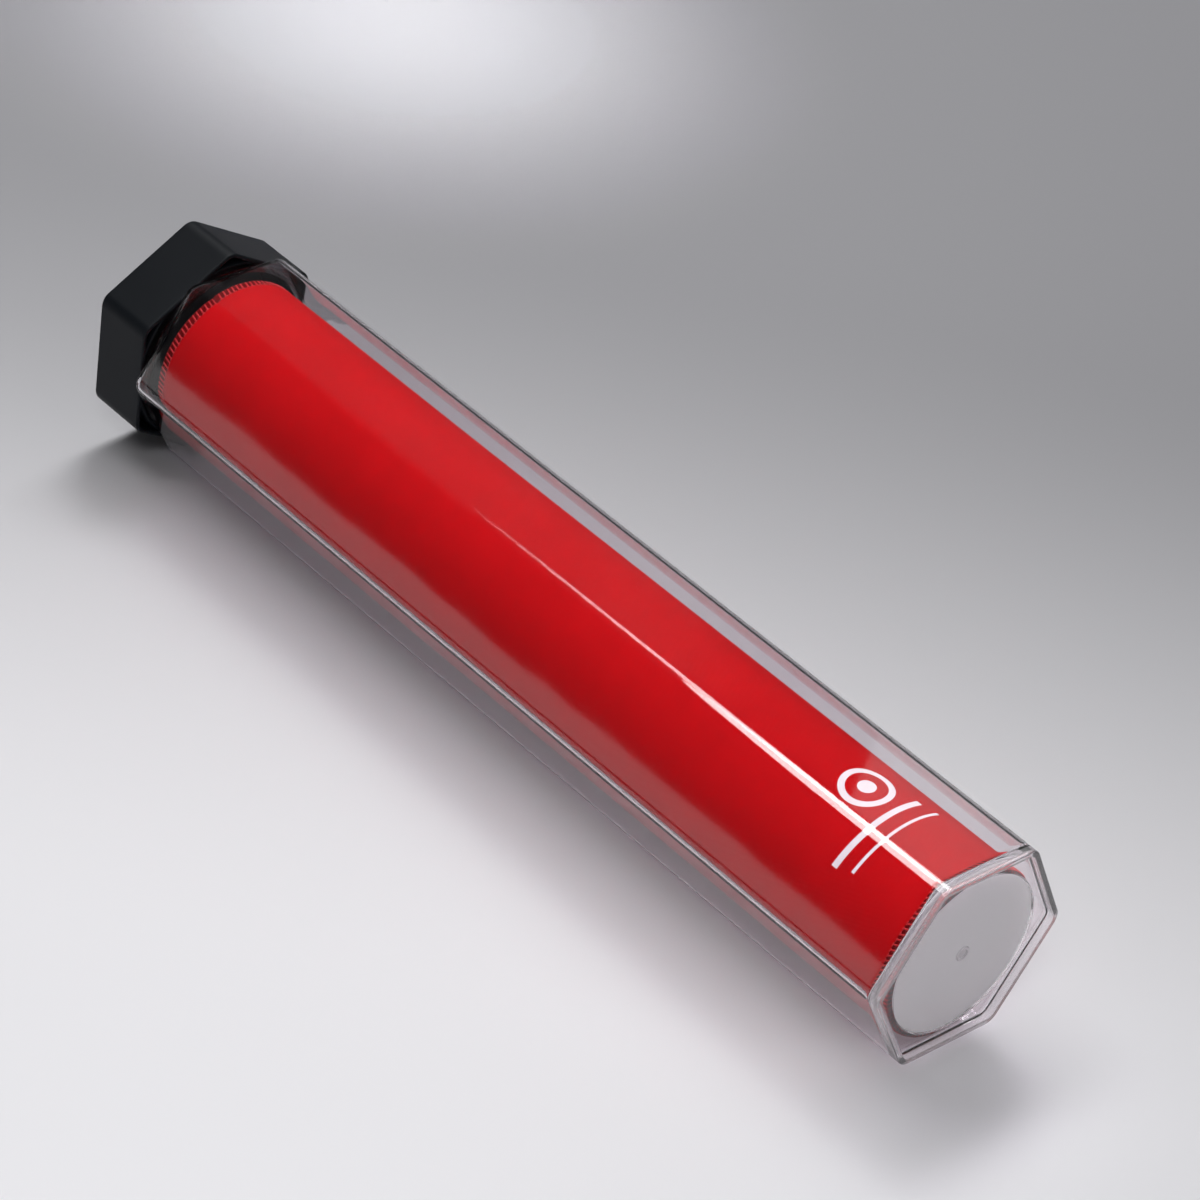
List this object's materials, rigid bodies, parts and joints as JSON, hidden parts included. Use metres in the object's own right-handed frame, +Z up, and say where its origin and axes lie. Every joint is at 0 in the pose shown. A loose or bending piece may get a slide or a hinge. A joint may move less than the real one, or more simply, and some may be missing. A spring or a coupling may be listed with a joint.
{
  "type": "six-sided storage tube with screw cap and rolled mat",
  "caption": "Clear six-sided tube with a closed foot and a black screw cap, holding a rolled cloth mat on a rubber base with a stitched border.",
  "frame": {"origin": "under the middle of the object, on the surface that it lies on", "axes": "+X along the tube from cap to foot, +Z up, square to the tube's flat underside"},
  "size_m": [0.3954, 0.078, 0.0808],
  "materials": {
    "clear_plastic": "clear gloss, moulded, faint lilac tint",
    "black_plastic": "fine moulded satin",
    "liner_foam": "black closed-cell foam, matt",
    "red_cloth": "smooth knitted polyester with a soft sheen",
    "black_rubber": "matt textured natural rubber",
    "red_thread": "overlocked polyester thread"
  },
  "bodies": {
    "tube": {"tube_body": "clear_plastic"},
    "mat_roll": {"mat_cloth": "red_cloth", "mat_rubber_base": "black_rubber", "border_stitch_foot_end": "red_thread", "border_stitch_cap_end": "red_thread", "border_stitch_outer_edge": "red_thread", "border_stitch_inner_edge": "red_thread"},
    "liner": {"cap_liner": "liner_foam"},
    "cap": {"screw_cap": "black_plastic"}
  },
  "joints": [
    {"name": "cap_lift", "type": "slide", "parent": "tube", "child": "liner", "axis": [-1, 0, 0], "range_m": [0, 0.0056]},
    {"name": "cap_turn", "type": "hinge", "parent": "liner", "child": "cap", "pos_m": [-0.1854, 0, 0.04041], "axis": [-1, 0, 0], "range_deg": [0, 495]},
    {"name": "mat_slide", "type": "slide", "parent": "tube", "child": "mat_roll", "axis": [-1, 0, 0], "range_m": [0, 0.024]}
  ],
  "couplings": [
    {"joint": "cap_lift", "follows": "cap_turn", "m_per_rad": 0.00063662}
  ]
}
